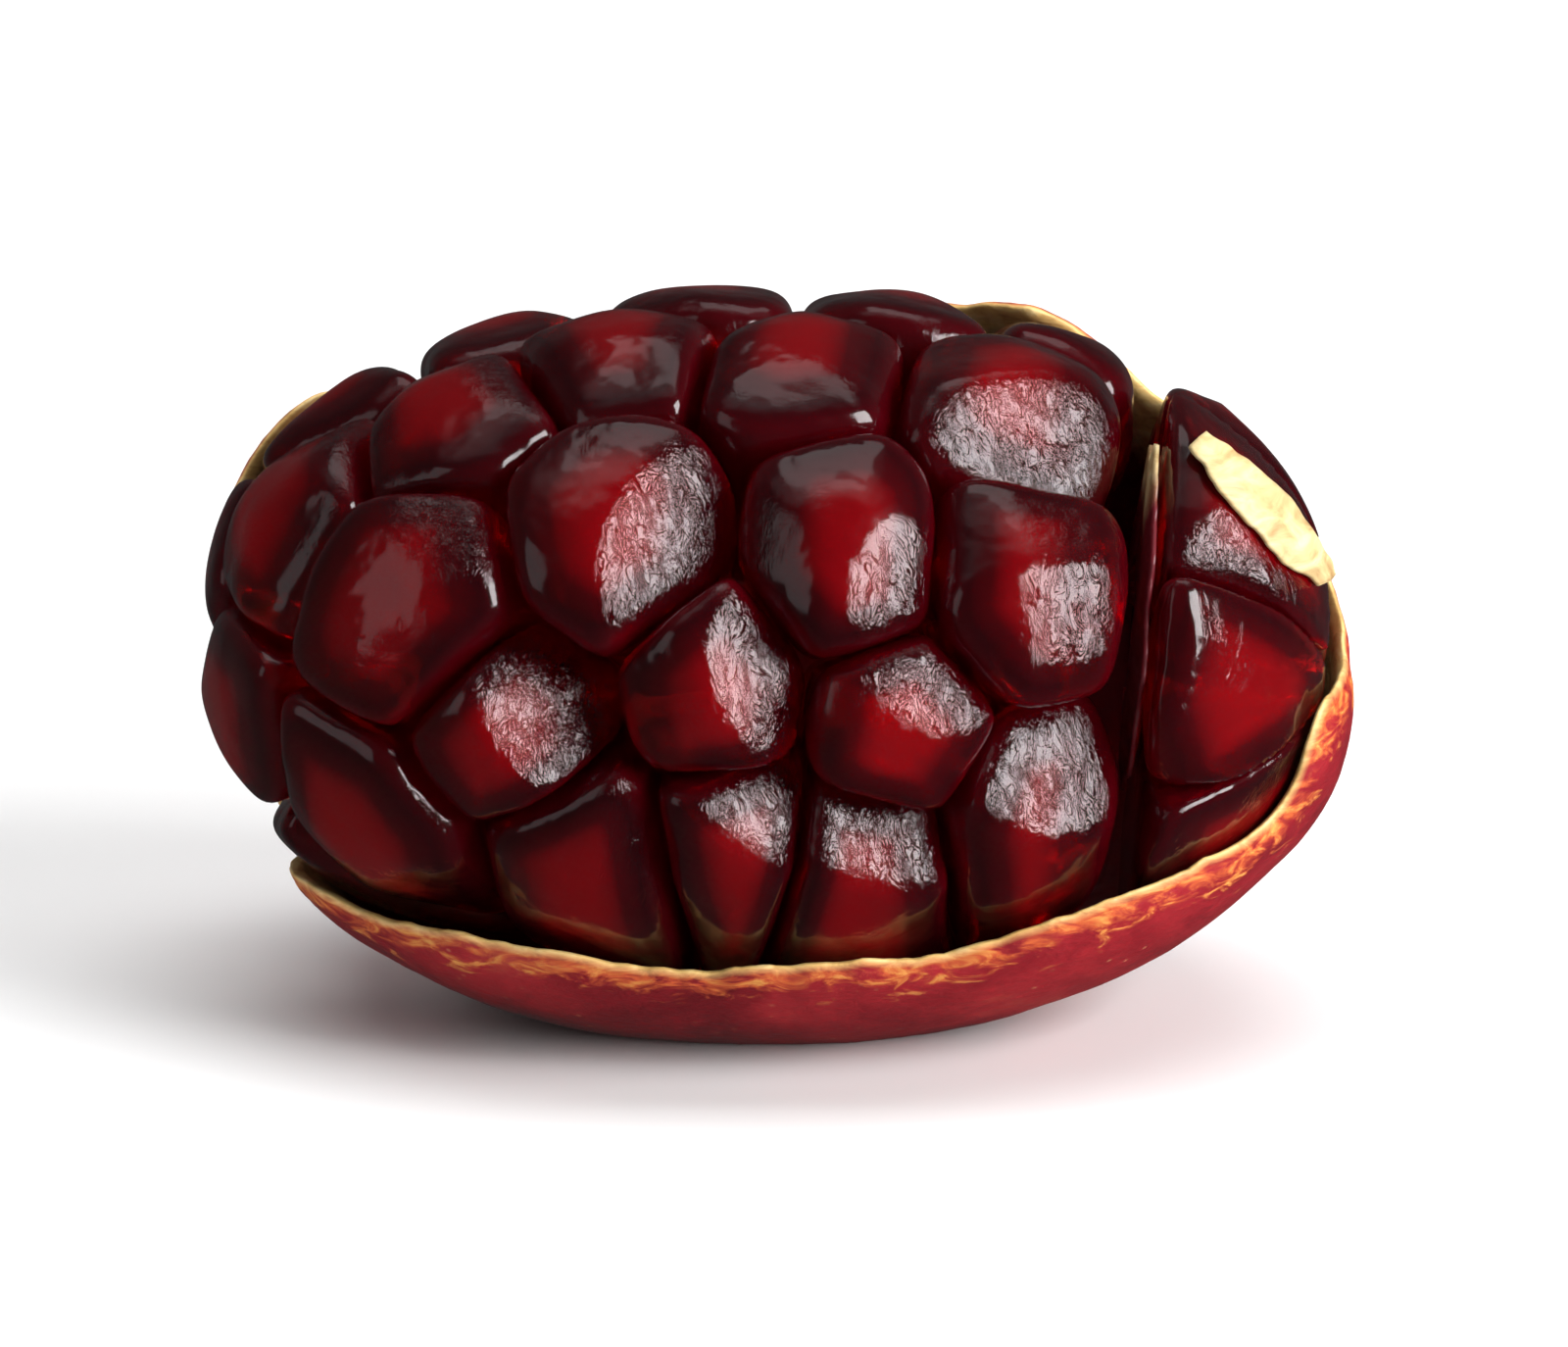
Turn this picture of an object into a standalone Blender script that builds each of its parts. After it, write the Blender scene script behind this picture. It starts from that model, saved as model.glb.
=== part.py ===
"""An open pomegranate: a chunk torn from the fruit, a cup of rind heaped with arils.

The frame is in metres, +Z up. The chunk lies on the flattened underside of its rind, with the open side
facing up and forward (-Y). The origin is on the resting surface, under the middle of the bounding box.
Lengths below are in millimetres and angles in degrees, and build() turns them into metres.
"""

import math

import bmesh
import bpy
import numpy as np
from mathutils import Vector

MM = 0.001

# The heap of arils is a slightly boxy ellipsoid.
HEAP_HALF = (24.6, 17.6, 15.0)
HEAP_POWER = 2.2
HEAP_CENTRE = (-0.9, -1.4, 16.65)

# The cup of rind is round the heap. It opens along an axis that leans forward from straight up.
OPENING_LEAN = 42.0
SEAT_GAP = 0.35
RIND_THICKNESS = 2.2
RIM_THICKNESS = 1.5
RIM_TAPER = 30.0
CUSHION_ANGLE = 118.0
CUSHION_CORE = 2.5
CUSHION_STEPS = (0.66, 0.33, 0.0)
RIND_AROUND, RIND_OUTSIDE, RIND_INSIDE = 60, 14, 5

# The torn rim: its angle from the opening axis, at each angle round that axis from +X towards the back.
RIM = (
    (0, 94), (22, 99), (38, 95), (51, 83), (62, 88), (90, 99), (116, 103), (137, 98),
    (151, 89), (160, 92), (168, 103), (180, 113), (194, 112), (205, 100), (225, 91), (262, 89),
    (297, 87), (325, 87), (338, 89), (347, 84),
)  # fmt: skip

# Arils: each is a rounded wedge that reaches inwards from its face on the heap's surface.
ARIL_LENGTH = 11.5
SITE_DEPTH = 4.4
ARIL_GAP = 0.32
ROUNDING = 10.0
ARIL_GRID = 5
ARIL_PITCH = 8.6
CUSHION_CLEARANCE = 12.0
# Arils away from the open side are tried over the whole heap, then eased apart in small steps.
FILL_TRIES, FILL_CROWDING = 400, 0.82
EASE_ROUNDS, EASE_STEP = 60, 0.2

# Arils of the open side, by where their faces are seen from the front, 15 degrees above the horizon:
# across and up from the middle of the heap.
FACING_TILT = 15.0
FACING_LIMIT = -0.02
FRONT_ARILS = (
    (-21.2, 6.6), (-14.0, 10.3), (-6.2, 13.2), (1.4, 12.9), (11.1, 11.2), (-23.9, -4.0),
    (-15.6, 1.2), (-6.5, 4.8), (3.8, 3.3), (11.7, 2.2), (20.5, 5.4), (-17.3, -9.2), (-11.2, -4.6),
    (-1.8, -3.0), (5.8, -4.4), (19.4, -2.6), (-7.9, -10.6), (-0.9, -9.9), (4.0, -10.9), (12.4, -8.9),
    (19.2, -9.4),
)  # fmt: skip

# A papery septum, torn along its front edge, parts the right end from the rest.
SEPTUM_AT = 16.0
SEPTUM_LEAN = 5.0
SEPTUM_THICKNESS = 0.5
SEPTUM_REACH = 100.0
SEPTUM_INSET = 1.2
SEPTUM_TEAR = 6.0
SEPTUM_PEAK = -9.0
SEPTUM_CLEARANCE = 2.8
SEPTUM_HALF_COLUMNS = 9
SEPTUM_ROWS = (1.0, 0.8, 0.6, 0.4)

# A flake of membrane is left against the right end: its edges by (longitude, longitude, latitude).
FLAKE_EDGES = ((-12, -7, 8), (-18, -7, 12), (-21, -9, 17), (-22, -12, 22), (-20, -15, 27))
FLAKE_COLUMNS = 7
FLAKE_OUTSET = 0.35
FLAKE_THICKNESS = 0.5
RESTING_CUT = 0.9

COLOURS = {
    "rind": ((0.42, 0.03, 0.04, 1.0), 0.45),
    "aril": ((0.22, 0.003, 0.012, 1.0), 0.15),
    "membrane": ((0.83, 0.72, 0.42, 1.0), 0.6),
}


def opening_axes():
    """The opening axis, the sideways axis and the axis towards the back rim."""
    lean = math.radians(OPENING_LEAN)
    out = Vector((0, -math.sin(lean), math.cos(lean)))
    return out, Vector((1, 0, 0)), Vector((0, math.cos(lean), math.sin(lean)))


OUT, ACROSS, BACK = opening_axes()
CENTRE = Vector(HEAP_CENTRE)


def direction(from_axis, around):
    """The unit direction at an angle from the opening axis and an angle round it, in degrees."""
    theta, phi = math.radians(from_axis), math.radians(around)
    sideways = math.cos(phi) * ACROSS + math.sin(phi) * BACK
    return math.cos(theta) * OUT + math.sin(theta) * sideways


def heap_level(point):
    """1 on the heap's surface, less inside it. The point is relative to the heap's centre."""
    parts = (abs(p / half) ** HEAP_POWER for p, half in zip(point, HEAP_HALF))
    return sum(parts) ** (1 / HEAP_POWER)


def heap_normal(point):
    """The heap's outward normal at a point relative to its centre."""
    slopes = (
        math.copysign(abs(p / half) ** (HEAP_POWER - 1) / half, p) for p, half in zip(point, HEAP_HALF)
    )
    return Vector(slopes).normalized()


def on_heap(way, outset=0.0):
    """The point of the heap's surface in this direction from its centre, moved outwards by outset."""
    surface = way / heap_level(way)
    return surface + heap_normal(surface) * outset


def heap_reach(start, way):
    """How far it is from a point inside the heap to its surface, in a direction."""
    near, far = 0.0, 2 * max(HEAP_HALF)
    for _ in range(26):
        middle = (near + far) / 2
        near, far = (middle, far) if heap_level(start + way * middle) < 1 else (near, middle)
    return near


def rim_angle(around):
    """The torn rim's angle from the opening axis, on a smooth closed curve through the RIM points."""
    count = len(RIM)
    for i, (start, _) in enumerate(RIM):
        end = RIM[(i + 1) % count][0] + (360 if i == count - 1 else 0)
        if start <= around < end:
            before, here, after, later = (RIM[(i + k) % count][1] for k in (-1, 0, 1, 2))
            t = (around - start) / (end - start)
            curve = 2 * here + (after - before) * t + (2 * before - 5 * here + 4 * after - later) * t**2
            return (curve + (3 * here - before - 3 * after + later) * t**3) / 2
    raise ValueError(around)


def closed_grid(name, rows, start, end):
    """A mesh object skinned over closed rows of points, with a single point at each end of it."""
    mesh = bmesh.new()
    loops = [[mesh.verts.new(p) for p in row] for row in rows]
    for near, far in zip(loops, loops[1:]):
        for i in range(len(near)):
            j = (i + 1) % len(near)
            mesh.faces.new((near[i], near[j], far[j], far[i]))
    for loop, tip in ((loops[0], start), (loops[-1], end)):
        point = mesh.verts.new(tip)
        for i in range(len(loop)):
            mesh.faces.new((point, loop[(i + 1) % len(loop)], loop[i]))
    return finished(name, mesh)


def finished(name, mesh, smooth_under=35.0):
    """The object made from a closed bmesh in millimetres round the heap's centre, faces pointing out."""
    bmesh.ops.recalc_face_normals(mesh, faces=mesh.faces)
    bmesh.ops.triangulate(mesh, faces=mesh.faces)
    bmesh.ops.scale(mesh, vec=(MM, MM, MM), verts=mesh.verts)
    data = bpy.data.meshes.new(name)
    mesh.to_mesh(data)
    mesh.free()
    data.shade_smooth()
    data.set_sharp_from_angle(angle=math.radians(smooth_under))
    made = bpy.data.objects.new(name, data)
    bpy.context.scene.collection.objects.link(made)
    return made


def rind_outside(way, from_rim):
    """A point of the rind's outer skin. It thins towards the rim and is flat where the chunk rests."""
    share = min(1.0, from_rim / RIM_TAPER)
    thickness = RIM_THICKNESS + (RIND_THICKNESS - RIM_THICKNESS) * share
    point = on_heap(way, SEAT_GAP + thickness)
    floor = RESTING_CUT - HEAP_HALF[2] - SEAT_GAP - RIND_THICKNESS
    return point * min(1.0, floor / point.z) if point.z < 0 else point


def make_rind():
    """The cup of rind with its pith cushion, as it grew: one piece, from the pole behind to the torn rim."""
    around = [360 * i / RIND_AROUND for i in range(RIND_AROUND)]
    rims = [rim_angle(a) for a in around]
    rows = []
    for k in range(1, RIND_OUTSIDE + 1):
        share = k / RIND_OUTSIDE
        angles = [180 + (rim - 180) * share for rim in rims]
        ways = [direction(t, a) for t, a in zip(angles, around)]
        rows.append([rind_outside(w, t - rim) for w, t, rim in zip(ways, angles, rims)])
    for k in range(RIND_INSIDE + 1):
        share = k / RIND_INSIDE
        deep = [rim + (CUSHION_ANGLE + 2 - rim) * share for rim in rims]
        rows.append([on_heap(direction(t, a), SEAT_GAP) for t, a in zip(deep, around)])
    cone = [direction(CUSHION_ANGLE + 2, a) for a in around]
    for share in CUSHION_STEPS:
        rows.append([w * (CUSHION_CORE + share * on_heap(w).length) for w in cone])
    pole = direction(180, 0)
    return closed_grid("rind", rows, rind_outside(pole, 90), pole * CUSHION_CORE)


def septum_plane():
    """A point on the septum and its normal, which points to the right end."""
    lean = math.radians(SEPTUM_LEAN)
    return Vector((SEPTUM_AT, 0, 0)), Vector((math.cos(lean), 0, -math.sin(lean)))


def facing_axes():
    """The directions towards the front, a little above the horizon, and up as seen from there."""
    tilt = math.radians(FACING_TILT)
    return Vector((0, -math.cos(tilt), math.sin(tilt))), Vector((0, math.sin(tilt), math.cos(tilt)))


def front_sites():
    """The heap's surface points whose faces FRONT_ARILS lists, met by lines from the front."""
    towards, up = facing_axes()
    for across, height in FRONT_ARILS:
        seen = Vector((across, 0, 0)) + up * height
        yield seen + towards * heap_reach(seen, towards)


def filled_sites():
    """All the arils' places on the heap: the front ones, and others spread evenly over the rest of it."""
    fixed = list(front_sites())
    loose = []
    golden = math.pi * (3 - math.sqrt(5))
    for i in range(FILL_TRIES):
        height = 1 - 2 * (i + 0.5) / FILL_TRIES
        ring = math.sqrt(1 - height * height)
        way = Vector((ring * math.cos(i * golden), ring * math.sin(i * golden), height))
        point = on_heap(way)
        clear = all((point - other).length > ARIL_PITCH * FILL_CROWDING for other in fixed + loose)
        if clear and may_grow(point):
            loose.append(point)
    for _ in range(EASE_ROUNDS):
        loose = [eased(p, fixed + loose) for p in loose]
    return fixed + loose


def eased(point, everyone):
    """A loose place after one small step away from whatever is nearer than the aril pitch."""
    push = Vector((0, 0, 0))
    for other in everyone:
        apart = point - other
        if 0 < apart.length < ARIL_PITCH:
            push += apart.normalized() * (ARIL_PITCH - apart.length) * EASE_STEP
    moved = on_heap((point + push).normalized())
    return moved if may_grow(moved) else point


def may_grow(point):
    """Whether a loose place is off the cushion and does not face the front, where the arils are fixed."""
    off_cushion = math.degrees(point.angle(OUT)) < CUSHION_ANGLE - CUSHION_CLEARANCE
    return off_cushion and heap_normal(point).dot(facing_axes()[0]) < FACING_LIMIT


def aril_site(surface_point):
    """The point an aril grows round: under its face, and never hard against the septum."""
    site = surface_point - heap_normal(surface_point) * SITE_DEPTH
    point, normal = septum_plane()
    side = math.copysign(1, (surface_point - point).dot(normal))
    height = (site - point).dot(normal) * side
    return site + normal * side * max(0, SEPTUM_CLEARANCE - height)


def cell_planes(index, surface, sites):
    """(normal, distance) of each plane that bounds an aril, as seen from its site."""
    site = sites[index]
    outwards = heap_normal(surface[index])
    planes = [(outwards, SITE_DEPTH), (-outwards, ARIL_LENGTH - SITE_DEPTH)]
    for other in sites[:index] + sites[index + 1 :]:
        apart = other - site
        planes.append((apart.normalized(), apart.length / 2 - ARIL_GAP / 2))
    # The pith cushion is a cone round the pole, so the plane that touches it nearest the aril parts them.
    around = math.degrees(math.atan2(site.dot(BACK), site.dot(ACROSS)))
    cushion = direction(CUSHION_ANGLE + 90, around)
    planes.append((cushion, -ARIL_GAP - site.dot(cushion)))
    point, normal = septum_plane()
    height = (site - point).dot(normal)
    room = abs(height) - SEPTUM_THICKNESS / 2 - ARIL_GAP
    planes.append((normal * -math.copysign(1, height), room))
    return planes


def make_aril(name, site, planes):
    """A rounded wedge: the body a soft minimum of its planes and the heap's surface leaves round its site."""
    normals = np.array([n for n, _ in planes])
    distances = np.array([d for _, d in planes])
    body = bmesh.new()
    for way in even_directions():
        nearness = np.maximum(normals @ np.array(way), 0) / distances
        nearness = np.append(nearness, 1 / heap_reach(site, way))
        body.verts.new(site + way * float((nearness**ROUNDING).sum() ** (-1 / ROUNDING)))
    hull = bmesh.ops.convex_hull(body, input=body.verts)
    unused = [e for e in hull["geom_interior"] if isinstance(e, bmesh.types.BMVert)]
    bmesh.ops.delete(body, geom=unused, context="VERTS")
    return finished(name, body)


def even_directions():
    """Unit directions through the grid points of a cube's sides, spread evenly by the tangent."""
    cube = bmesh.new()
    bmesh.ops.create_cube(cube, size=2)
    bmesh.ops.subdivide_edges(cube, edges=cube.edges, cuts=ARIL_GRID - 1, use_grid_fill=True)
    ways = [Vector(math.tan(c * math.pi / 4) for c in v.co).normalized() for v in cube.verts]
    cube.free()
    return ways


def plate(name, near, far):
    """A thin sheet between two matching grids of points, closed along its edges."""
    mesh = bmesh.new()
    sides = [[[mesh.verts.new(p) for p in row] for row in grid] for grid in (near, far)]
    rows, columns = len(near), len(near[0])
    for grid in sides:
        for i in range(rows - 1):
            for j in range(columns - 1):
                mesh.faces.new((grid[i][j], grid[i][j + 1], grid[i + 1][j + 1], grid[i + 1][j]))
    border = [(0, j) for j in range(columns)] + [(i, columns - 1) for i in range(1, rows)]
    border += [(rows - 1, j) for j in range(columns - 2, -1, -1)] + [(i, 0) for i in range(rows - 2, 0, -1)]
    for (i, j), (k, m) in zip(border, border[1:] + border[:1]):
        mesh.faces.new((sides[0][i][j], sides[0][k][m], sides[1][k][m], sides[1][i][j]))
    return finished(name, mesh)


def make_septum():
    """The septum: a sheet across the heap, from near its surface in towards the middle."""
    point, normal = septum_plane()
    outwards = (OUT - normal * OUT.dot(normal)).normalized()
    backwards = outwards.cross(normal)
    columns = range(-SEPTUM_HALF_COLUMNS, SEPTUM_HALF_COLUMNS + 1)
    turns = [SEPTUM_REACH * i / SEPTUM_HALF_COLUMNS for i in columns]
    near, far = [], []
    for grid, side in ((near, -0.5), (far, 0.5)):
        for angle in turns:
            turn = math.radians(angle)
            way = math.cos(turn) * outwards + math.sin(turn) * backwards
            inset = SEPTUM_INSET + SEPTUM_TEAR * (1 - math.cos(turn - math.radians(SEPTUM_PEAK)))
            edge = point + way * (heap_reach(point, way) - inset)
            offset = normal * SEPTUM_THICKNESS * side
            grid.append([point + (edge - point) * share + offset for share in SEPTUM_ROWS])
    return plate("septum", near, far)


def make_flake():
    """The flake: a leaf of membrane that follows the heap's surface at a small distance."""
    near, far = [], []
    for grid, outset in ((near, FLAKE_OUTSET), (far, FLAKE_OUTSET + FLAKE_THICKNESS)):
        for start, end, latitude in FLAKE_EDGES:
            steps = (i / (FLAKE_COLUMNS - 1) for i in range(FLAKE_COLUMNS))
            turns = [math.radians(start + (end - start) * step) for step in steps]
            rise = math.sin(math.radians(latitude))
            flat = math.cos(math.radians(latitude))
            ways = [Vector((flat * math.cos(t), flat * math.sin(t), rise)) for t in turns]
            grid.append([on_heap(way, outset) for way in ways])
    return plate("membrane_flake", near, far)


def clear_scene():
    for old in list(bpy.data.objects):
        bpy.data.objects.remove(old)


def coloured(made, kind):
    """Gives an object its kind's material, made once."""
    material = bpy.data.materials.get(kind)
    if material is None:
        material = bpy.data.materials.new(kind)
        material.use_nodes = True
        shader = material.node_tree.nodes["Principled BSDF"]
        colour, roughness = COLOURS[kind]
        shader.inputs["Base Color"].default_value = colour
        shader.inputs["Roughness"].default_value = roughness
    made.data.materials.append(material)


def build():
    clear_scene()
    chunk = bpy.data.objects.new("chunk", None)
    chunk.location = CENTRE * MM
    bpy.context.scene.collection.objects.link(chunk)
    surface = filled_sites()
    sites = [aril_site(p) for p in surface]
    made = [(make_rind(), "rind"), (make_septum(), "membrane"), (make_flake(), "membrane")]
    for i, site in enumerate(sites):
        planes = cell_planes(i, surface, sites)
        made.append((make_aril(f"aril_{i + 1:02d}", site, planes), "aril"))
    for piece, kind in made:
        piece.parent = chunk
        coloured(piece, kind)


build()
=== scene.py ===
"""The looks of the open pomegranate: a cup of rind heaped with wet, faceted arils, on a white table.

Every CAD node is rebuilt here in finer detail, in the CAD's own frame and from the CAD's own rule. The frame
is in metres. Lengths below are in millimetres round the heap's centre, and angles are in degrees, unless a
name says otherwise.
"""

import math
import random

import bmesh
import bpy
import numpy as np
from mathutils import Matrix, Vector, noise

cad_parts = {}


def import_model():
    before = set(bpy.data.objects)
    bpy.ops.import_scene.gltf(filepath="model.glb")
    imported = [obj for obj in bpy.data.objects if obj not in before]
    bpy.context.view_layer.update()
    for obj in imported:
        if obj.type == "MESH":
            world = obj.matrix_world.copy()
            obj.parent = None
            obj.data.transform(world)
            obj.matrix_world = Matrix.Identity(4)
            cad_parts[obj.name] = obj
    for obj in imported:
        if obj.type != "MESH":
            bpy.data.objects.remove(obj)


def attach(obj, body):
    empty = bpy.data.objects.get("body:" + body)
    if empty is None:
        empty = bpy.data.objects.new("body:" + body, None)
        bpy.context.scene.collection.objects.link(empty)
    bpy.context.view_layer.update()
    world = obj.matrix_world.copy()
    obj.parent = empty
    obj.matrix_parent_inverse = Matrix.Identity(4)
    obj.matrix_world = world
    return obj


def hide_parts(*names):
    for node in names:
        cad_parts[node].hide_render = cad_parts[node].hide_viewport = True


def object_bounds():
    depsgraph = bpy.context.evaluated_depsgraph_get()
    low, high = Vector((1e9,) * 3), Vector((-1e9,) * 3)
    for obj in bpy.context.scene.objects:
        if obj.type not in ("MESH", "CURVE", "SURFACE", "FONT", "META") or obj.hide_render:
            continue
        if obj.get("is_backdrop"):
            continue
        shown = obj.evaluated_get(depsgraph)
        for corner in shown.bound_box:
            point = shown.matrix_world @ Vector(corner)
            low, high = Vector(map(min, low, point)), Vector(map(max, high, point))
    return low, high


MM = 0.001

# The heap, the cup and the arils' places: the same numbers as the CAD.
HEAP_HALF = (24.6, 17.6, 15.0)
HEAP_POWER = 2.2
HEAP_CENTRE = (-0.9, -1.4, 16.65)
OPENING_LEAN = 42.0
SEAT_GAP = 0.35
RIND_THICKNESS = 2.2
RIM_TAPER = 30.0
CUSHION_ANGLE = 118.0
CUSHION_CORE = 2.5
RESTING_CUT = 0.9
RIM = (
    (0, 94), (22, 99), (38, 95), (51, 83), (62, 88), (90, 99), (116, 103), (137, 98),
    (151, 89), (160, 92), (168, 103), (180, 113), (194, 112), (205, 100), (225, 91), (262, 89),
    (297, 87), (325, 87), (338, 89), (347, 84),
)  # fmt: skip
ARIL_LENGTH = 11.5
SITE_DEPTH = 4.4
ARIL_PITCH = 8.6
CUSHION_CLEARANCE = 12.0
FILL_TRIES, FILL_CROWDING = 400, 0.82
EASE_ROUNDS, EASE_STEP = 60, 0.2
FACING_TILT = 15.0
FACING_LIMIT = -0.02
FRONT_ARILS = (
    (-21.2, 6.6), (-14.0, 10.3), (-6.2, 13.2), (1.4, 12.9), (11.1, 11.2), (-23.9, -4.0),
    (-15.6, 1.2), (-6.5, 4.8), (3.8, 3.3), (11.7, 2.2), (20.5, 5.4), (-17.3, -9.2), (-11.2, -4.6),
    (-1.8, -3.0), (5.8, -4.4), (19.4, -2.6), (-7.9, -10.6), (-0.9, -9.9), (4.0, -10.9), (12.4, -8.9),
    (19.2, -9.4),
)  # fmt: skip
SEPTUM_AT = 16.0
SEPTUM_LEAN = 5.0
SEPTUM_THICKNESS = 0.5
SEPTUM_REACH = 100.0
SEPTUM_INSET = 1.2
SEPTUM_TEAR = 6.0
SEPTUM_PEAK = -9.0
SEPTUM_CLEARANCE = 2.8
# The septum's pale part lies round this angle, within this half-width; away from it and low down it is
# painted dark red, partly as juice and partly as shade.
SEPTUM_PALE_AT, SEPTUM_PALE_HALF = 20.0, 16.0
FLAKE_EDGES = ((-12, -7, 8), (-18, -7, 12), (-21, -9, 17), (-22, -12, 22), (-20, -15, 27))
FLAKE_OUTSET = 0.35
FLAKE_THICKNESS = 0.5

# Arils are drawn closer together than the CAD's, and each face is cut like a gem. The higher a rounding or
# a crispness, the sharper the edges. A facet tilts from the face's middle, and starts this far out from it.
DRAWN_GAP = 0.12
ARIL_GRID = 30
SIDE_ROUNDING = 10.0
FACET_CRISPNESS = 20.0
WEDGE_ROUNDING = 6.5
FACET_COUNT = 5
FACET_TILT = (16.0, 34.0)
FACET_START = (0.8, 2.6)
FACET_TURN_JITTER = 12

# One facet of each front aril faces halfway between the front view and the key light, so that the light
# shows in it. It is made only where it leans less than the limit, and starts closer in where it leans more
# than the ease.
GLINT_START = (-0.2, 1.0)
GLINT_LIMIT = 58.0
GLINT_EASE_FROM, GLINT_EASE = 35, 0.02
GLINT_JITTER = 0.13
KEY_PLACE = (0.54, -0.31, 0.28)
GLINT_EDGE_FADE = 8

# An aril may reach a little past the heap's surface, whose distance is divided by this.
HEAP_ALLOWANCE = 0.95
# Faces are slightly dented.
FACE_DENT = 0.10
FACE_DENT_SIZE = 2.6

# Juice, and the dark red on pith and membrane: partly what the juice leaves, partly painted shade deep in the
# cup and low on the septum.
JUICE_DENSITY = 700.0
JUICE_COLOUR = (0.95, 0.0, 0.03)
JUICE_STAIN_AND_SHADE = (0.10, 0.003, 0.008)

# The rind in fine detail. Each layer of wander or lumps is (size, height).
RIND_AROUND = 360
SKIN_ROWS, TEAR_ROWS, LINING_ROWS = 90, 8, 26
TORN_EDGE = 0.6
TEAR_WANDER_SCALE = 2.2
LENGTH_PER_DEGREE = 0.37
TEAR_BULGE = 1.6
TEAR_WANDER = ((9.0, 1.2), (3.1, 0.45), (1.1, 0.28), (0.5, 0.12))
SKIN_LUMPS = ((9.0, 0.22), (3.0, 0.07))
PITH_LUMPS = ((2.2, 0.18), (0.8, 0.08))


def opening_axes():
    """The opening axis, the sideways axis and the axis towards the back rim."""
    lean = math.radians(OPENING_LEAN)
    out = Vector((0, -math.sin(lean), math.cos(lean)))
    return out, Vector((1, 0, 0)), Vector((0, math.cos(lean), math.sin(lean)))


OUT, ACROSS, BACK = opening_axes()
CENTRE = Vector(HEAP_CENTRE)


def direction(from_axis, around):
    """The unit direction at an angle from the opening axis and an angle round it, in degrees."""
    theta, phi = math.radians(from_axis), math.radians(around)
    sideways = math.cos(phi) * ACROSS + math.sin(phi) * BACK
    return math.cos(theta) * OUT + math.sin(theta) * sideways


def heap_level(point):
    """1 on the heap's surface, less inside it."""
    parts = (abs(p / half) ** HEAP_POWER for p, half in zip(point, HEAP_HALF))
    return sum(parts) ** (1 / HEAP_POWER)


def heap_normal(point):
    """The heap's outward normal at a point."""
    slopes = (
        math.copysign(abs(p / half) ** (HEAP_POWER - 1) / half, p) for p, half in zip(point, HEAP_HALF)
    )
    return Vector(slopes).normalized()


def on_heap(way, outset=0.0):
    """The point of the heap's surface in this direction from its centre, moved outwards by outset."""
    surface = way / heap_level(way)
    return surface + heap_normal(surface) * outset


def heap_reach(start, way):
    """How far it is from a point inside the heap to its surface, in a direction."""
    near, far = 0.0, 2 * max(HEAP_HALF)
    for _ in range(26):
        middle = (near + far) / 2
        near, far = (middle, far) if heap_level(start + way * middle) < 1 else (near, middle)
    return near


def heap_reaches(start, ways):
    """heap_reach for many directions at once."""
    near = np.zeros(len(ways))
    far = np.full(len(ways), 2.0 * max(HEAP_HALF))
    for _ in range(26):
        middle = (near + far) / 2
        points = np.abs((start + ways * middle[:, None]) / HEAP_HALF)
        inside = (points**HEAP_POWER).sum(axis=1) < 1
        near = np.where(inside, middle, near)
        far = np.where(inside, far, middle)
    return near


def rim_angle(around):
    """The torn rim's angle from the opening axis, on a smooth closed curve through the RIM points."""
    count = len(RIM)
    for i, (start, _) in enumerate(RIM):
        end = RIM[(i + 1) % count][0] + (360 if i == count - 1 else 0)
        if start <= around < end:
            before, here, after, later = (RIM[(i + k) % count][1] for k in (-1, 0, 1, 2))
            t = (around - start) / (end - start)
            curve = 2 * here + (after - before) * t + (2 * before - 5 * here + 4 * after - later) * t**2
            return (curve + (3 * here - before - 3 * after + later) * t**3) / 2
    raise ValueError(around)


def facing_axes():
    """The directions towards the front, a little above the horizon, and up as seen from there."""
    tilt = math.radians(FACING_TILT)
    return Vector((0, -math.cos(tilt), math.sin(tilt))), Vector((0, math.sin(tilt), math.cos(tilt)))


def front_sites():
    """The heap's surface points whose faces FRONT_ARILS lists, met by lines from the front."""
    towards, up = facing_axes()
    for across, height in FRONT_ARILS:
        seen = Vector((across, 0, 0)) + up * height
        yield seen + towards * heap_reach(seen, towards)


def filled_sites():
    """All the arils' places on the heap: the front ones, and others spread evenly over the rest of it."""
    fixed = list(front_sites())
    loose = []
    golden = math.pi * (3 - math.sqrt(5))
    for i in range(FILL_TRIES):
        height = 1 - 2 * (i + 0.5) / FILL_TRIES
        ring = math.sqrt(1 - height * height)
        way = Vector((ring * math.cos(i * golden), ring * math.sin(i * golden), height))
        point = on_heap(way)
        clear = all((point - other).length > ARIL_PITCH * FILL_CROWDING for other in fixed + loose)
        if clear and may_grow(point):
            loose.append(point)
    for _ in range(EASE_ROUNDS):
        loose = [eased(p, fixed + loose) for p in loose]
    return fixed + loose


def eased(point, everyone):
    """A loose place after one small step away from whatever is nearer than the aril pitch."""
    push = Vector((0, 0, 0))
    for other in everyone:
        apart = point - other
        if 0 < apart.length < ARIL_PITCH:
            push += apart.normalized() * (ARIL_PITCH - apart.length) * EASE_STEP
    moved = on_heap((point + push).normalized())
    return moved if may_grow(moved) else point


def may_grow(point):
    """Whether a loose place is off the cushion and does not face the front, where the arils are fixed."""
    off_cushion = math.degrees(point.angle(OUT)) < CUSHION_ANGLE - CUSHION_CLEARANCE
    return off_cushion and heap_normal(point).dot(facing_axes()[0]) < FACING_LIMIT


def septum_plane():
    """A point on the septum and its normal, which points to the right end."""
    lean = math.radians(SEPTUM_LEAN)
    return Vector((SEPTUM_AT, 0, 0)), Vector((math.cos(lean), 0, -math.sin(lean)))


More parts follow.
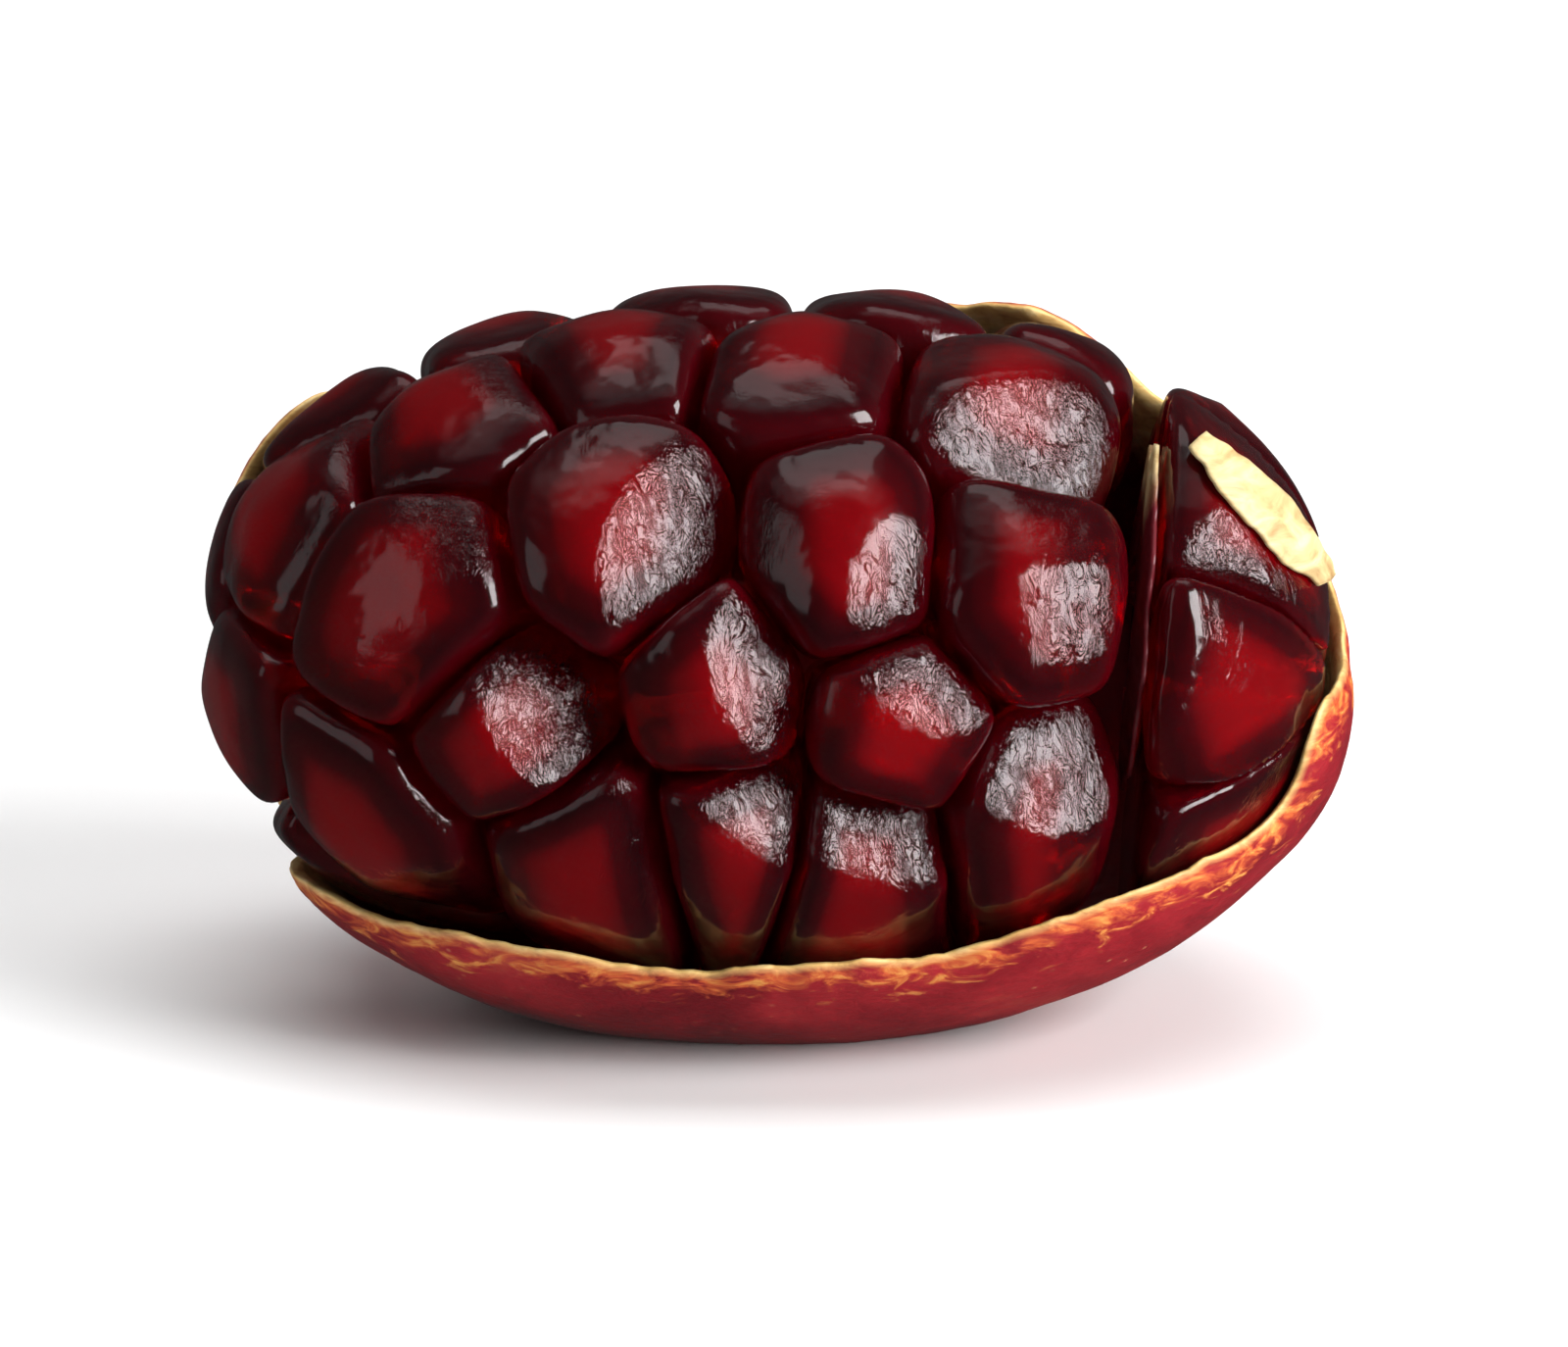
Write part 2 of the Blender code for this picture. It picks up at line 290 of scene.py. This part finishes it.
def aril_site(surface_point):
    """The point an aril grows round: under its face, and never hard against the septum."""
    site = surface_point - heap_normal(surface_point) * SITE_DEPTH
    point, normal = septum_plane()
    side = math.copysign(1, (surface_point - point).dot(normal))
    height = (site - point).dot(normal) * side
    return site + normal * side * max(0, SEPTUM_CLEARANCE - height)


def wall_planes(index, surface, sites):
    """(normal, distance) of each plane that parts an aril from its neighbours, as seen from its site."""
    site = sites[index]
    planes = [(-heap_normal(surface[index]), ARIL_LENGTH - SITE_DEPTH)]
    for other in sites[:index] + sites[index + 1 :]:
        apart = other - site
        planes.append((apart.normalized(), apart.length / 2 - DRAWN_GAP / 2))
    around = math.degrees(math.atan2(site.dot(BACK), site.dot(ACROSS)))
    cushion = direction(CUSHION_ANGLE + 90, around)
    planes.append((cushion, -DRAWN_GAP - site.dot(cushion)))
    point, normal = septum_plane()
    height = (site - point).dot(normal)
    room = abs(height) - SEPTUM_THICKNESS / 2 - DRAWN_GAP
    planes.append((normal * -math.copysign(1, height), room))
    return planes


def glint_direction():
    """The way a facet faces to show the key light to a viewer in front."""
    key = (Vector(KEY_PLACE) - CENTRE * MM).normalized()
    return (facing_axes()[0] + key).normalized()


def face_planes(outwards, chance):
    """(normal, distance) of each facet of an aril's face: one that faces the light, and others round it."""
    side = (ACROSS - outwards * ACROSS.dot(outwards)).normalized()
    over = outwards.cross(side)
    planes = [(outwards, SITE_DEPTH)]
    glint = glint_direction()
    across, along = (chance.uniform(-GLINT_JITTER, GLINT_JITTER) for _ in range(2))
    glint = (glint + side * across + over * along).normalized()
    lean = outwards.angle(glint)
    if lean < math.radians(GLINT_LIMIT):
        start = chance.uniform(*GLINT_START) - GLINT_EASE * max(0, math.degrees(lean) - GLINT_EASE_FROM)
        planes.append((glint, SITE_DEPTH * math.cos(lean) + start * math.sin(lean)))
    turn = chance.uniform(0, 360 / FACET_COUNT)
    for k in range(FACET_COUNT):
        tilt = math.radians(chance.uniform(*FACET_TILT))
        start = chance.uniform(*FACET_START)
        jitter = chance.uniform(-FACET_TURN_JITTER, FACET_TURN_JITTER)
        azimuth = math.radians(turn + k * 360 / FACET_COUNT + jitter)
        sideways = math.cos(azimuth) * side + math.sin(azimuth) * over
        normal = math.cos(tilt) * outwards + math.sin(tilt) * sideways
        planes.append((normal, SITE_DEPTH * math.cos(tilt) + start * math.sin(tilt)))
    return planes


def cube_sphere(grid):
    """A cube's grid points as unit directions, and its quads. The first axis points out of its first side."""
    steps = np.tan(np.linspace(-1, 1, grid + 1) * math.pi / 4)
    index, points, quads = {}, [], []
    sides = (
        ((1, 0, 0), (0, 1, 0), (0, 0, 1)), ((-1, 0, 0), (0, 0, 1), (0, 1, 0)),
        ((0, 1, 0), (0, 0, 1), (1, 0, 0)), ((0, -1, 0), (1, 0, 0), (0, 0, 1)),
        ((0, 0, 1), (1, 0, 0), (0, 1, 0)), ((0, 0, -1), (0, 1, 0), (1, 0, 0)),
    )  # fmt: skip
    for main, first, second in np.array(sides, float):
        ids = []
        for a in steps:
            for b in steps:
                point = main + first * a + second * b
                key = tuple(np.round(point, 6))
                if key not in index:
                    index[key] = len(points)
                    points.append(point / np.linalg.norm(point))
                ids.append(index[key])
        for i in range(grid):
            for j in range(grid):
                corner = i * (grid + 1) + j
                quads.append([ids[corner], ids[corner + grid + 1], ids[corner + grid + 2], ids[corner + 1]])
    return np.array(points), quads


def gauge(planes, ways, power):
    """The soft maximum over the planes of 1 / (distance to the plane) in each direction."""
    normals = np.array([n for n, _ in planes])
    distances = np.array([d for _, d in planes])
    nearness = np.maximum(ways @ normals.T, 0) / distances
    return (nearness**power).sum(axis=1) ** (1 / power)


def new_object(name, points, faces, material, attributes=None, smooth=True):
    """A mesh object from points in millimetres round the heap's centre, with its point attributes."""
    data = bpy.data.meshes.new(name)
    world = (np.asarray(points) + np.array(HEAP_CENTRE)) * MM
    data.from_pydata(world.tolist(), [], faces)
    for key, values in (attributes or {}).items():
        layer = data.attributes.new(key, "FLOAT", "POINT")
        layer.data.foreach_set("value", np.asarray(values, np.float32))
    mesh = bmesh.new()
    mesh.from_mesh(data)
    bmesh.ops.recalc_face_normals(mesh, faces=mesh.faces)
    mesh.to_mesh(data)
    mesh.free()
    if smooth:
        data.shade_smooth()
    data.materials.append(material)
    made = bpy.data.objects.new(name, data)
    bpy.context.scene.collection.objects.link(made)
    return made


def make_aril(index, surface, sites, sphere, material):
    """One aril: a wedge with a gem-cut face.

    Its painted light and shade is 1 mid-face, where the colour is painted bright as if lit through the juice,
    and falls towards its neighbours, where the colour is painted darker; its `glint` is 1 on the light's
    facet.
    """
    name = f"aril_{index + 1:02d}"
    chance = random.Random(name)
    site, outwards = sites[index], heap_normal(surface[index])
    local, quads = sphere
    side = outwards.orthogonal().normalized()
    basis = np.array([outwards, side, outwards.cross(side)])
    ways = local @ basis
    walls = gauge(wall_planes(index, surface, sites), ways, SIDE_ROUNDING)
    facets = face_planes(outwards, chance)
    face = gauge(facets, ways, FACET_CRISPNESS)
    glint = (gauge(facets[1:2], ways, 1) / np.maximum(face, 1e-6)) ** FACET_CRISPNESS
    heap = 1 / heap_reaches(np.array(site), ways)
    total = (walls**WEDGE_ROUNDING + face**WEDGE_ROUNDING) ** (1 / WEDGE_ROUNDING)
    total = np.maximum(total, heap * HEAP_ALLOWANCE)
    points = np.array(site) + ways / total[:, None]
    dents = [noise.noise(Vector(p) / FACE_DENT_SIZE) for p in points]
    points += ways * (np.array(dents) * FACE_DENT)[:, None]
    # Painted light and shade: 1 mid-face, where the colour is painted bright, and lower towards the walls,
    # where it is painted dark.
    painted_light_and_shade = np.clip(1 - (walls / np.maximum(face, heap)) ** 2, 0, 1)
    glint *= np.clip((face / np.maximum(walls, 1e-6) - 1) * GLINT_EDGE_FADE, 0, 1)
    return new_object(f"{name}_look", points, quads, material, {"painted_light_and_shade": painted_light_and_shade, "glint": glint})


def wander(position, layers, seed=0.0):
    """Smooth noise summed over layers of (size, height), at a position in the same unit as size."""
    total = 0.0
    for k, (size, height) in enumerate(layers):
        total += noise.noise(position / size + Vector((seed, 17.0 * k, 0))) * height
    return total


def torn_rim(around):
    """The rim's angle with the small wandering of a tear."""
    place = direction(90, around) * 25
    return rim_angle(around) + wander(place, TEAR_WANDER, 5.0) * TEAR_WANDER_SCALE


def rind_outside(way, from_rim):
    """A point of the rind's outer skin: thinner towards the rim, and flat where the chunk rests."""
    share = min(1.0, max(0.0, from_rim) / RIM_TAPER)
    thickness = TORN_EDGE + (RIND_THICKNESS - TORN_EDGE) * share**0.7
    lump = wander(way * 20, SKIN_LUMPS)
    point = on_heap(way, SEAT_GAP + thickness + (lump - 0.15) * share)
    floor = RESTING_CUT - HEAP_HALF[2] - SEAT_GAP - RIND_THICKNESS
    return point * min(1.0, floor / point.z) if point.z < 0 else point


def rind_rows():
    """The rind's closed rows of points from the pole, over the tear and down inside, with their facts."""
    around = [360 * i / RIND_AROUND for i in range(RIND_AROUND)]
    rims = [torn_rim(a) for a in around]
    rows, skin, from_rim = [], [], []

    def add(points, is_skin, distances):
        rows.append(points)
        skin.append([is_skin] * RIND_AROUND)
        from_rim.append(distances)

    for k in range(1, SKIN_ROWS + 1):
        share = 1 - (1 - k / SKIN_ROWS) ** 1.6
        angles = [180 + (rim - 180) * share for rim in rims]
        points = [rind_outside(direction(t, a), t - rim) for t, a, rim in zip(angles, around, rims)]
        add(points, 1.0, [(t - rim) * LENGTH_PER_DEGREE for t, rim in zip(angles, rims)])
    for k in range(1, TEAR_ROWS):
        share = k / TEAR_ROWS
        points = []
        for a, rim in zip(around, rims):
            way = direction(rim - TEAR_BULGE * math.sin(share * math.pi) ** 0.8, a)
            rough = wander(way * 25, PITH_LUMPS, 9.0) * math.sin(share * math.pi)
            points.append(on_heap(way, SEAT_GAP + TORN_EDGE * (1 - share) + rough * 0.5))
        add(points, 1 - share, [0.0] * RIND_AROUND)
    for k in range(LINING_ROWS + 1):
        share = k / LINING_ROWS
        deep = [rim + (CUSHION_ANGLE + 2 - rim) * share for rim in rims]
        points = [on_heap(direction(t, a), SEAT_GAP) for t, a in zip(deep, around)]
        add(points, 0.0, [(t - rim) * LENGTH_PER_DEGREE for t, rim in zip(deep, rims)])
    cone = [direction(CUSHION_ANGLE + 2, a) for a in around]
    for share in (0.66, 0.33, 0.0):
        points = [w * (CUSHION_CORE + share * (on_heap(w).length - CUSHION_CORE)) for w in cone]
        add(points, 0.0, [9.0] * RIND_AROUND)
    return rows, skin, from_rim


def make_rind(material):
    """The rind: its `skin` is 1 outside and 0 inside, and its `from_rim` is the distance from the tear."""
    rows, skin, from_rim = rind_rows()
    points = [p for row in rows for p in row]
    ends = len(points)
    points += [rind_outside(direction(180, 0), 90), direction(180, 0) * CUSHION_CORE]
    faces = []
    count = RIND_AROUND
    for r in range(len(rows) - 1):
        for i in range(count):
            j = (i + 1) % count
            faces.append([r * count + i, r * count + j, (r + 1) * count + j, (r + 1) * count + i])
    for i in range(count):
        j = (i + 1) % count
        faces.append([ends, j, i])
        faces.append([ends + 1, (len(rows) - 1) * count + i, (len(rows) - 1) * count + j])
    facts = {
        "skin": [v for row in skin for v in row] + [1.0, 0.0],
        "from_rim": [v for row in from_rim for v in row] + [30.0, 9.0],
    }
    return new_object("rind_look", points, faces, material, facts)


def plate(name, near, far, material, facts=None):
    """A thin sheet between two matching grids of points, closed along its edges."""
    rows, columns = len(near), len(near[0])
    points = [p for grid in (near, far) for row in grid for p in row]

    def at(side, i, j):
        return side * rows * columns + i * columns + j

    faces = []
    for i in range(rows - 1):
        for j in range(columns - 1):
            for side in (0, 1):
                corners = ((i, j), (i, j + 1), (i + 1, j + 1), (i + 1, j))
                faces.append([at(side, a, b) for a, b in corners])
    border = [(0, j) for j in range(columns)] + [(i, columns - 1) for i in range(1, rows)]
    border += [(rows - 1, j) for j in range(columns - 2, -1, -1)] + [(i, 0) for i in range(rows - 2, 0, -1)]
    for (i, j), (k, m) in zip(border, border[1:] + border[:1]):
        faces.append([at(0, i, j), at(0, k, m), at(1, k, m), at(1, i, j)])
    return new_object(name, points, faces, material, facts)


def make_septum(material):
    """The septum: a sheet across the heap with a ragged edge near the surface."""
    point, normal = septum_plane()
    outwards = (OUT - normal * OUT.dot(normal)).normalized()
    backwards = outwards.cross(normal)
    columns, rows = 160, 14
    near, far, stain_and_shade = [], [], []
    for grid, side in ((near, -0.5), (far, 0.5)):
        for c in range(columns + 1):
            turn = math.radians(SEPTUM_REACH * (2 * c / columns - 1))
            sunken = abs(math.degrees(turn) - SEPTUM_PALE_AT) / SEPTUM_PALE_HALF
            way = math.cos(turn) * outwards + math.sin(turn) * backwards
            inset = SEPTUM_INSET + SEPTUM_TEAR * (1 - math.cos(turn - math.radians(SEPTUM_PEAK)))
            inset += wander(way * 16, ((3.0, 0.9), (1.0, 0.4)), 2.0)
            edge = heap_reach(point, way) - max(0.3, inset)
            line = []
            for r in range(rows + 1):
                reach = edge * (1 - 0.6 * r / rows)
                place = point + way * reach
                ripple = wander(place, ((4.0, 0.25),), 3.0)
                thin = 0.35 + 0.65 * min(1.0, r / 4)
                line.append(place + normal * (SEPTUM_THICKNESS * side * thin + ripple * 0.5))
                # Dark red low down and away from the pale part: partly juice, partly painted shade.
                stain_and_shade.append(min(1.0, max(0.0, max(sunken - 0.6, r / 5 - 0.4))))
            grid.append(line)
    return plate("septum_look", near, far, material, {"stain_and_shade": stain_and_shade})


def make_flake(material):
    """The flake of membrane against the right end, with a ragged outline."""
    knots = np.array(FLAKE_EDGES, float)
    rows, columns = 50, 26
    near, far = [], []
    for grid, thick in ((near, 0.0), (far, 1.0)):
        for r in range(rows + 1):
            share = r / rows * (len(knots) - 1)
            start, end, latitude = (np.interp(share, range(len(knots)), knots[:, k]) for k in range(3))
            ragged = wander(Vector((latitude, 0, 0)), ((5.0, 1.6), (1.7, 0.8)), 4.0)
            line = []
            for c in range(columns + 1):
                turn = math.radians(start + ragged + (end - start) * c / columns)
                flat = math.cos(math.radians(latitude))
                rise = math.sin(math.radians(latitude))
                way = Vector((flat * math.cos(turn), flat * math.sin(turn), rise))
                edge = min(c, columns - c) / (columns / 2)
                swell = FLAKE_THICKNESS * thick * (0.3 + 0.7 * min(1.0, edge * 2))
                lift = wander(way * 24, ((3.0, 0.2),), 6.0)
                line.append(on_heap(way, FLAKE_OUTSET + swell + max(0.0, lift)))
            grid.append(line)
    return plate("flake_look", near, far, material)


class Nodes:
    """Short names for building a material's node tree."""

    def __init__(self, name):
        self.material = bpy.data.materials.new(name)
        self.material.use_nodes = True
        self.tree = self.material.node_tree
        self.shader = self.tree.nodes["Principled BSDF"]

    def node(self, kind, settings=None, **inputs):
        made = self.tree.nodes.new(kind)
        for key, value in (settings or {}).items():
            setattr(made, key, value)
        for key, value in inputs.items():
            self.feed(made.inputs[key.replace("_", " ")], value)
        return made

    def feed(self, socket, value):
        if isinstance(value, bpy.types.NodeSocket):
            self.tree.links.new(value, socket)
        else:
            socket.default_value = value

    def noise(self, scale, detail=4.0, roughness=0.55, distortion=0.0, stretch=(1, 1, 1)):
        """Noise over the object in its own metres: scale is in bumps per metre."""
        place = self.node("ShaderNodeTexCoord").outputs["Object"]
        mapped = self.node("ShaderNodeMapping", Vector=place, Scale=stretch)
        made = self.node("ShaderNodeTexNoise", Vector=mapped.outputs["Vector"], Scale=scale, Detail=detail)
        made.inputs["Roughness"].default_value = roughness
        made.inputs["Distortion"].default_value = distortion
        return made.outputs["Fac"]

    def cells(self, scale, feature="F1"):
        """The distance to the nearest of scattered points: scale is in points per metre."""
        place = self.node("ShaderNodeTexCoord").outputs["Object"]
        made = self.node("ShaderNodeTexVoronoi", {"feature": feature}, Vector=place, Scale=scale)
        return made.outputs["Distance"]

    def ramp(self, value, *stops):
        made = self.node("ShaderNodeValToRGB", Fac=value)
        points = made.color_ramp.elements
        while len(points) < len(stops):
            points.new(0.5)
        for point, (place, colour) in zip(points, stops):
            point.position = place
            point.color = colour if len(colour) == 4 else (*colour, 1)
        return made.outputs["Color"]

    def level(self, value, low, high, to_low=0.0, to_high=1.0):
        made = self.node("ShaderNodeMapRange", Value=value)
        made.inputs["From Min"].default_value = low
        made.inputs["From Max"].default_value = high
        made.inputs["To Min"].default_value = to_low
        made.inputs["To Max"].default_value = to_high
        return made.outputs["Result"]

    def mix(self, factor, a, b):
        made = self.node("ShaderNodeMix", {"data_type": "RGBA"})
        self.feed(made.inputs[0], factor)
        self.feed(made.inputs[6], a if isinstance(a, bpy.types.NodeSocket) else (*a, 1))
        self.feed(made.inputs[7], b if isinstance(b, bpy.types.NodeSocket) else (*b, 1))
        return made.outputs[2]

    def maths(self, a, b, operation="ADD"):
        """Two values combined by one operation of the Math node."""
        made = self.node("ShaderNodeMath", {"operation": operation})
        self.feed(made.inputs[0], a)
        self.feed(made.inputs[1], b)
        return made.outputs[0]

    def attribute(self, name):
        return self.node("ShaderNodeAttribute", {"attribute_name": name}).outputs["Fac"]

    def bump(self, height, distance, strength=1.0, under=None):
        made = self.node("ShaderNodeBump", Height=height, Distance=distance, Strength=strength)
        if under is not None:
            self.tree.links.new(under, made.inputs["Normal"])
        return made.outputs["Normal"]


def aril_material():
    """Juice sac: wet clear skin over deep red juice, with painted light that makes it bright mid-face and
    painted shade that darkens it towards its neighbours.
    """
    n = Nodes("aril")
    painted_light_and_shade = n.attribute("painted_light_and_shade")
    # Painted light and shade in the base colour: bright red mid-face, dark towards the neighbours.
    tint = n.ramp(
        painted_light_and_shade, (0.0, (0.24, 0.001, 0.010)), (0.5, (0.09, 0.001, 0.006)), (0.82, (0.20, 0.001, 0.007)),
        (1.0, (0.78, 0.002, 0.010)),
    )  # fmt: skip
    n.feed(n.shader.inputs["Base Color"], tint)
    patch = n.level(n.noise(170, 2), 0.50, 0.60, 0.0, 0.25)
    broken = n.level(n.noise(420, 2), 0.38, 0.52, 0.6, 1.0)
    where = n.maths(patch, n.maths(n.level(n.attribute("glint"), 0.1, 0.7), broken, "MULTIPLY"), "MAXIMUM")
    ridge = n.maths(n.maths(n.noise(1450, 3, 0.5, 2.2, (1, 1, 0.45)), 0.5, "SUBTRACT"), 0.0, "ABSOLUTE")
    smooth = n.noise(420, 2)
    soft = n.bump(smooth, 0.00020, 0.9)
    wrinkled = n.bump(n.maths(ridge, where, "MULTIPLY"), 0.00018, 1.0, soft)
    n.feed(n.shader.inputs["Normal"], wrinkled)
    n.shader.inputs["Roughness"].default_value = 0.13
    n.shader.inputs["IOR"].default_value = 1.42
    n.shader.inputs["Transmission Weight"].default_value = 0.86
    juice = n.node("ShaderNodeVolumeAbsorption", Density=JUICE_DENSITY, Color=(*JUICE_COLOUR, 1))
    n.tree.links.new(juice.outputs[0], n.tree.nodes["Material Output"].inputs["Volume"])
    return n.material


def rind_material():
    """Leathery red skin with pale specks, an orange torn edge, and cream pith inside that turns dark red
    further in from the rim, partly from juice and partly as painted shade.
    """
    n = Nodes("rind")
    skin, from_rim = n.attribute("skin"), n.attribute("from_rim")
    blotch = n.noise(130, 5, 0.6, 0.4)
    red = n.ramp(
        blotch, (0.25, (0.10, 0.003, 0.007)), (0.45, (0.22, 0.005, 0.011)), (0.62, (0.33, 0.010, 0.016)),
        (0.8, (0.40, 0.05, 0.025)),
    )  # fmt: skip
    specks = n.level(n.cells(1100), 0.10, 0.18, 1.0, 0.0)
    sparse = n.level(n.noise(500, 2), 0.5, 0.6)
    red = n.mix(n.maths(n.maths(specks, sparse, "MULTIPLY"), 0.45, "MULTIPLY"), red, (0.5, 0.2, 0.1))
    streak = n.noise(900, 4, 0.6, 1.0, (0.6, 0.6, 1.4))
    near_rim = n.level(n.maths(from_rim, n.level(streak, 0.35, 0.65, 1.1, -1.5), "ADD"), -0.3, 1.0, 1.0, 0.0)
    orange = n.ramp(
        streak, (0.36, (0.30, 0.015, 0.014)), (0.54, (0.48, 0.08, 0.02)), (0.7, (0.66, 0.28, 0.06))
    )
    outside = n.mix(near_rim, red, orange)
    pith = n.ramp(streak, (0.25, (0.48, 0.25, 0.07)), (0.5, (0.72, 0.48, 0.17)), (0.75, (0.84, 0.66, 0.32)))
    # Dark red further in from the rim: partly juice, partly painted shade.
    stained_and_shaded = n.level(n.maths(from_rim, n.level(blotch, 0.3, 0.7, -1.2, 1.2), "ADD"), 1.2, 3.2)
    pith = n.mix(stained_and_shaded, pith, JUICE_STAIN_AND_SHADE)
    n.feed(n.shader.inputs["Base Color"], n.mix(n.level(skin, 0.5, 0.9), pith, outside))
    pores = n.bump(n.cells(1500, "SMOOTH_F1"), 0.00012, 0.35)
    grain = n.bump(n.noise(2600, 4), 0.00008, 0.4, pores)
    n.feed(n.shader.inputs["Normal"], n.bump(streak, 0.0002, 0.35, grain))
    n.feed(n.shader.inputs["Roughness"], n.level(blotch, 0.3, 0.7, 0.34, 0.5))
    n.shader.inputs["IOR"].default_value = 1.4
    return n.material


def membrane_material():
    """Papery cream membrane, dark red where it is marked, partly from juice and partly as painted shade."""
    n = Nodes("membrane")
    fibre = n.noise(700, 4, 0.6, 0.8, (0.5, 0.5, 1.5))
    colour = n.ramp(fibre, (0.3, (0.34, 0.19, 0.07)), (0.5, (0.52, 0.39, 0.18)), (0.7, (0.62, 0.52, 0.30)))
    # Dark red where marked: partly juice, partly painted shade.
    n.feed(n.shader.inputs["Base Color"], n.mix(n.attribute("stain_and_shade"), colour, JUICE_STAIN_AND_SHADE))
    n.feed(n.shader.inputs["Roughness"], n.level(fibre, 0.3, 0.7, 0.4, 0.6))
    n.feed(n.shader.inputs["Normal"], n.bump(fibre, 0.00015, 0.5))
    return n.material


def table_material():
    """Plain white card, very faintly uneven."""
    n = Nodes("table")
    shade = n.noise(6, 2)
    n.feed(n.shader.inputs["Base Color"], n.ramp(shade, (0.3, (0.83, 0.83, 0.83)), (0.7, (0.86, 0.86, 0.86))))
    n.shader.inputs["Roughness"].default_value = 0.45
    return n.material


def make_table():
    """A white sheet that runs flat under the fruit and curves up behind it."""
    half, flat, height, bend = 1.5, 0.9, 1.5, 0.4
    profile = [(-1.5, 0.0), (flat - bend, 0.0)]
    for k in range(1, 13):
        turn = math.pi / 2 * k / 12
        profile.append((flat - bend + bend * math.sin(turn), bend - bend * math.cos(turn)))
    profile.append((flat, height))
    data = bpy.data.meshes.new("table")
    points = [(x, y, z) for y, z in profile for x in (-half, half)]
    faces = [(2 * i, 2 * i + 1, 2 * i + 3, 2 * i + 2) for i in range(len(profile) - 1)]
    data.from_pydata(points, [], faces)
    data.shade_smooth()
    data.materials.append(table_material())
    table = bpy.data.objects.new("table", data)
    bpy.context.scene.collection.objects.link(table)
    table.visible_glossy = False
    table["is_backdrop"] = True


def softbox(name, place, size, power, colour=(1, 1, 1), aim=(0, 0, 0.016)):
    """A rectangular area light in metres and watts that faces the fruit."""
    data = bpy.data.lights.new(name, "AREA")
    data.shape = "RECTANGLE"
    data.size, data.size_y = size
    data.energy = power
    data.color = colour
    light = bpy.data.objects.new(name, data)
    light.location = place
    light.rotation_euler = (Vector(aim) - Vector(place)).to_track_quat("-Z", "Y").to_euler()
    bpy.context.scene.collection.objects.link(light)
    return light


def make_light():
    """A key from the right, a weak fill from the left, a top light, and one that whitens the sheet behind."""
    world = bpy.data.worlds.new("studio")
    world.use_nodes = True
    world.node_tree.nodes["Background"].inputs["Color"].default_value = (1, 1, 1, 1)
    world.node_tree.nodes["Background"].inputs["Strength"].default_value = 0.06
    bpy.context.scene.world = world
    softbox("key", KEY_PLACE, (0.42, 0.46), 9.5)
    softbox("fill", (-0.6, -0.3, 0.3), (0.3, 0.5), 0.4)
    softbox("top", (0.05, 0.25, 0.8), (0.6, 0.4), 0.9)
    backdrop = softbox("backdrop", (0.0, 0.1, 1.1), (1.2, 0.6), 14.0, aim=(0, 0.8, 0.3))
    backdrop.visible_glossy = False


def make_camera():
    """The photo's viewpoint: square on to the front, 15 degrees above the horizon."""
    distance, height = 0.55, 0.0145
    tilt = math.radians(FACING_TILT)
    data = bpy.data.cameras.new("camera")
    data.lens = 290
    data.sensor_width = 36
    data.clip_start = 0.01
    camera = bpy.data.objects.new("camera", data)
    camera.location = (0, -distance * math.cos(tilt), height + distance * math.sin(tilt))
    camera.rotation_euler = (math.pi / 2 - tilt, 0, 0)
    bpy.context.scene.collection.objects.link(camera)
    bpy.context.scene.camera = camera
    bpy.context.scene.view_settings.view_transform = "Standard"


def main():
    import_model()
    cad_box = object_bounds()
    surface = filled_sites()
    sites = [aril_site(p) for p in surface]
    sphere = cube_sphere(ARIL_GRID)
    juice, skin, paper = aril_material(), rind_material(), membrane_material()
    pieces = [(make_rind(skin), "rind", "rind")]
    pieces.append((make_septum(paper), "septum", "membrane"))
    pieces.append((make_flake(paper), "membrane_flake", "membrane"))
    for i in range(len(sites)):
        pieces.append((make_aril(i, surface, sites, sphere, juice), f"aril_{i + 1:02d}", "aril"))
    for piece, node, slot in pieces:
        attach(piece, "root")
        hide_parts(node)
    make_table()
    make_light()
    make_camera()
    sizes = {"cad": cad_box, "visual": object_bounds()}
    plain = {k: [[float(c) for c in corner] for corner in box] for k, box in sizes.items()}


main()
